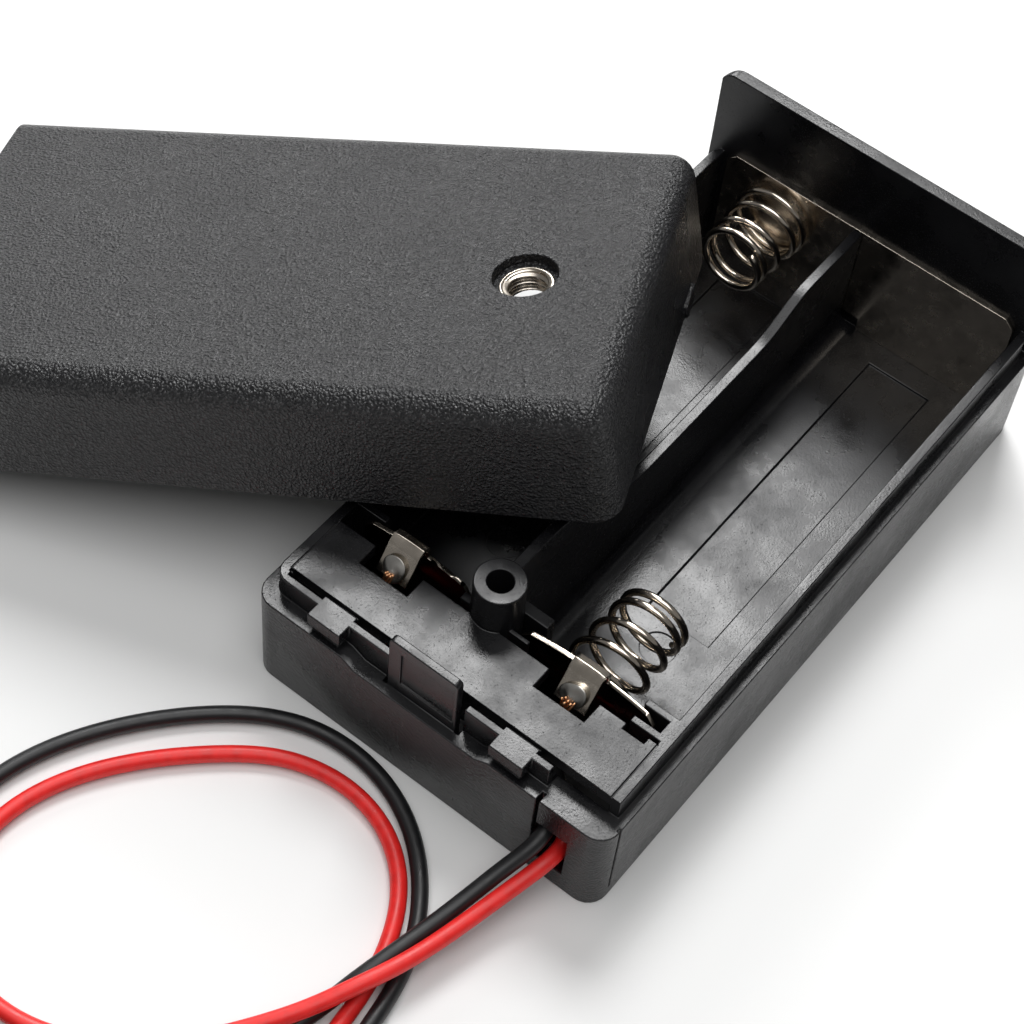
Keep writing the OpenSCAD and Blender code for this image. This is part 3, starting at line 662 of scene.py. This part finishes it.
class CELLHOLDER_OT_contacts(Operator):
    """The contact sheets, their solder and the bare strands under it"""

    bl_idname = "cell_holder.contacts"
    bl_label = "Contacts"

    def execute(self, context):
        sizes = context.scene.cell_holder_sizes
        colours = context.scene.cell_holder_colours
        sheet = bright_metal("nickel_sheet", tuple(colours.nickel), 0.14, 0.3, 0.25, (1, 0.1, 1))
        for node, bow in (("positive_contact", 0.5), ("negative_contact", 0.6), ("link_contact", 0)):
            piece = dressed_copy(node, node + "_sheet", sizes.sheet_edge, sheet, bow=bow * MM)
            if bow:
                # marks the bowed sheets' sides below the upper edge for painted shade
                self.mark_painted_shade(piece.data)
        tin = bright_metal("solder_tin", tuple(colours.solder), 0.26, 0.42, 0.5)
        copper = bright_metal("copper_strands", tuple(colours.copper), 0.25, 0.4, 0.3)
        for pole, seed in (("positive", 0.4), ("negative", 2.1)):
            self.solder(pole + "_solder_joint", seed, tin)
        for name, splay in (("red", 0.1), ("black", 0.5)):
            self.strands(name + "_inner_strands", splay * MM, sizes.strand_diameter, copper)
        return {"FINISHED"}

    def mark_painted_shade(self, mesh):
        """Marks an upright sheet's flat sides, a little under its upper edge and down, to be darkened as
        painted shade.
        """
        centre, normal = face_data(mesh)
        upright = (abs(normal[:, 0]) > 0.8) & (centre[:, 0] > centre[:, 0].max() - 1.1 * MM)
        edge = centre[abs(normal[:, 2]) > 0.9, 2]
        mark_faces(mesh, "dull", upright & (centre[:, 2] < edge.max() - 1.9 * MM))

    def solder(self, node, seed, material):
        """A flat drop of solder on a tongue.

        Over the drop's outline R(a) = 1.2 mm (1 + 0.08 sin(2a) + 0.05 sin(3a)), at a share r of the
        way out, its height is 0.18 mm (1 - r^2)^0.6 with low swells, plus a ridge over the strands.
        """
        centre, out = self.flat_side(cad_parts[node].data)
        down = Vector((0, 0, -1)) - Vector((0, 0, -1)).dot(out) * out
        down.normalize()
        across = out.cross(down)
        r = np.linspace(0, 1, 22)[:, None]
        a = np.linspace(0, 2 * np.pi, 56, endpoint=False)[None] + seed
        reach = 1.2 * (1 + 0.08 * np.sin(2 * a) + 0.05 * np.sin(3 * a)) * r
        low, side = reach * np.cos(a - seed), reach * np.sin(a - seed)
        dome = 0.18 * (1 - r**2) ** 0.6 * (1 + 0.3 * np.sin(5 * r + 2 * a) * r)
        ridge = 0.2 * np.exp(-((side / 0.5) ** 2)) / (1 + np.exp(-5 * low)) * (1 - r**8)
        height = dome + ridge - 0.02
        points = np.array(centre) + MM * (
            low[..., None] * np.array(down)
            + side[..., None] * np.array(across)
            + height[..., None] * np.array(out)
        )
        mesh = grid_mesh(node + "_drop", points, False, True, True)
        face_outwards(mesh)
        piece = new_object(node + "_drop", mesh, [material])
        stand_for(piece, node)

    def flat_side(self, mesh):
        """Middle of a mesh's widest flat side and the direction that points away from it, inwards."""
        groups = {}
        for face in mesh.polygons:
            key = tuple(round(c, 2) for c in face.normal)
            groups.setdefault(key, []).append(face)
        side = max(groups.values(), key=lambda faces: sum(face.area for face in faces))
        area = sum(face.area for face in side)
        centre = sum((face.center * face.area for face in side), Vector()) / area
        return centre, -side[0].normal

    def strands(self, node, splay, wide, material):
        """Seven twisted wires, one in the middle and six round it, that part a little at the top."""
        points, centre, across, over, along = node_axes(node, 2)
        long = np.ptp((points - centre) @ along)
        s = np.linspace(-0.5, 0.5, 14)
        rings = []
        for wire in range(7):
            angle = wire * np.pi / 3 + 2.2 * s
            apart = (wide / 3 + splay * (s + 0.5) ** 3 * (0.4 + 0.3 * (wire % 3))) * (wire > 0)
            line = (
                centre
                + (s * long)[:, None] * along
                + (apart * np.cos(angle))[:, None] * across
                + (apart * np.sin(angle))[:, None] * over
            )
            rings.append(tube_points(line, wide / 6, 8, (0, 1, 0)))
        wires = grid_mesh(node + "_wires", np.vstack(rings), False, True, True, strips=7)
        face_outwards(wires)
        piece = new_object(node + "_wires", wires, [material])
        stand_for(piece, node)


class CELLHOLDER_OT_springs(Operator):
    """The two cell springs"""

    bl_idname = "cell_holder.springs"
    bl_label = "Springs"

    def execute(self, context):
        sizes = context.scene.cell_holder_sizes
        nickel = tuple(context.scene.cell_holder_colours.nickel)
        wire = bright_metal("spring_wire", nickel, 0.1, 0.22, 0.3)
        for node, heading, turns in (
            ("negative_spring", 1, sizes.spring_turns),
            ("link_spring", -1, sizes.link_spring_turns),
        ):
            low, high = (np.array(corner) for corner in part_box(node))
            line = self.coil_line(sizes, turns, high[0] - low[0]) * (heading, 1, heading)
            line += (low + high) / 2 - (line.min(0) + line.max(0)) / 2
            rings = tube_points(line, self.wire_radius(sizes, len(line)), 14, (1, 0, 0))
            mesh = grid_mesh(node + "_coil", rings, False, True, True)
            face_outwards(mesh)
            piece = new_object(node + "_coil", mesh, [wire])
            stand_for(piece, node)
        return {"FINISHED"}

    def coil_line(self, sizes, turns, long):
        """The centre line of a right-handed coil along +X.

        At turn t the point is (x(t), r(t) cos(a), r(t) sin(a)) with a = 2 pi t + start. x grows by
        one wire in the first turn, by the pitch in each open turn, by 1.8 wires in the next turn
        and by one wire a turn in the last half. r falls evenly from the wide to the narrow end.
        """
        wire, start = sizes.spring_wire, math.radians(50)
        closed, last = 1.04 * wire, 1.8 * wire
        pitch = (long - 1.5 * closed - last - wire) / turns
        t = np.linspace(0, turns + 2.5, 30 * (2 * turns + 5) + 1)
        x = (
            closed * (t.clip(0, 1) + (t - 2 - turns).clip(0))
            + pitch * (t - 1).clip(0, turns)
            + last * (t - 1 - turns).clip(0, 1)
        )
        narrow = ((t - 0.5) / (turns + 1)).clip(0, 1)
        r = (sizes.spring_diameter + (sizes.spring_tip - sizes.spring_diameter) * narrow - wire) / 2
        angle = 2 * np.pi * t + start
        return np.column_stack([x + wire / 2, r * np.cos(angle), r * np.sin(angle)])

    def wire_radius(self, sizes, rows):
        """Half the wire, a little less over the last rows where the cut ends are rounded."""
        row = np.arange(rows)
        end = np.minimum(row, rows - 1 - row)
        return sizes.spring_wire / 2 * np.where(end < 2, 0.82 + 0.09 * end, 1.0)


class CELLHOLDER_OT_insert(Operator):
    """The threaded insert in the lid"""

    bl_idname = "cell_holder.insert"
    bl_label = "Insert"

    def execute(self, context):
        sizes = context.scene.cell_holder_sizes
        plating = tuple(context.scene.cell_holder_colours.insert)
        metal = bright_metal("insert_metal", plating, 0.2, 0.34, 0.2)
        sleeve = self.sleeve(sizes)
        centre, across, over, along = node_axes("threaded_insert", 0)[1:]
        points = centre + sleeve[..., :1] * across + sleeve[..., 1:2] * over + sleeve[..., 2:] * along
        mesh = grid_mesh("insert_sleeve", points, True, True)
        face_outwards(mesh)
        piece = new_object("insert_sleeve", mesh, [metal])
        stand_for(piece, "threaded_insert")
        return {"FINISHED"}

    def sleeve(self, sizes):
        """Rings of the sleeve's section, carried round its axis.

        The section runs up the outside, in over the rounded top and down the bore. In the bore the
        radius is core + depth * w, where w is a trapezoid wave of z / pitch - angle / 2 pi, so that
        the crests form a right-handed thread.
        """
        core, outer, half = sizes.insert_bore / 2, sizes.insert_diameter / 2, sizes.insert_length / 2
        depth, pitch, edge = sizes.thread_depth, sizes.thread_pitch, 0.1 * MM
        corner = np.linspace(0, np.pi / 2, 5)
        outside = edge * np.column_stack([np.cos(corner), np.sin(corner)]) + (outer - edge, half - edge)
        z = np.linspace(half, -half, 61)
        flare = (outer - 2 * edge - core) * (1 - (half - z) / (0.2 * MM)).clip(0)
        section = np.vstack([
            outside * (1, -1),
            outside,
            np.column_stack([core + flare, z]),
        ])
        section[:5] = section[:5][::-1]
        bore = np.arange(len(section)) >= 10
        angle = 2 * np.pi * np.arange(96) / 96
        wave = (section[:, 1:] / pitch - angle[None] / (2 * np.pi)) % 1
        crest = np.clip(2.4 * np.abs(wave * 2 - 1) - 0.7, 0, 1)
        radius = section[:, :1] + np.where(bore[:, None], depth * crest, 0)
        radius = np.minimum(radius, outer - 2 * edge * bore[:, None])
        up = np.broadcast_to(section[:, 1:], radius.shape)
        return np.stack([radius * np.cos(angle), radius * np.sin(angle), up], axis=-1)


OPERATORS = (
    CELLHOLDER_OT_stage,
    CELLHOLDER_OT_leads,
    CELLHOLDER_OT_case,
    CELLHOLDER_OT_lid,
    CELLHOLDER_OT_insert,
    CELLHOLDER_OT_contacts,
    CELLHOLDER_OT_springs,
)


class CELLHOLDER_PT_panel(Panel):
    """Sidebar panel with a button for each group of pieces"""

    bl_idname = "CELLHOLDER_PT_panel"
    bl_label = "Cell holder"
    bl_space_type = "VIEW_3D"
    bl_region_type = "UI"
    bl_category = "Cell holder"

    def draw(self, context):
        for group in (context.scene.cell_holder_sizes, context.scene.cell_holder_colours):
            column = self.layout.column()
            for name in group.__annotations__:
                column.prop(group, name)
        for operator in OPERATORS:
            self.layout.operator(operator.bl_idname)


CLASSES = (CellHolderSizes, CellHolderColours, *OPERATORS, CELLHOLDER_PT_panel)


def register():
    """Registers the classes and hangs the settings on the scene."""
    for cls in CLASSES:
        bpy.utils.register_class(cls)
    bpy.types.Scene.cell_holder_sizes = PointerProperty(type=CellHolderSizes)
    bpy.types.Scene.cell_holder_colours = PointerProperty(type=CellHolderColours)


def unregister():
    """Takes the settings and the classes away again."""
    del bpy.types.Scene.cell_holder_colours
    del bpy.types.Scene.cell_holder_sizes
    for cls in reversed(CLASSES):
        bpy.utils.unregister_class(cls)


def main():
    """Builds every piece."""
    register()
    for operator in OPERATORS:
        group, name = operator.bl_idname.split(".")
        getattr(getattr(bpy.ops, group), name)()


if __name__ == "__main__":
    main()
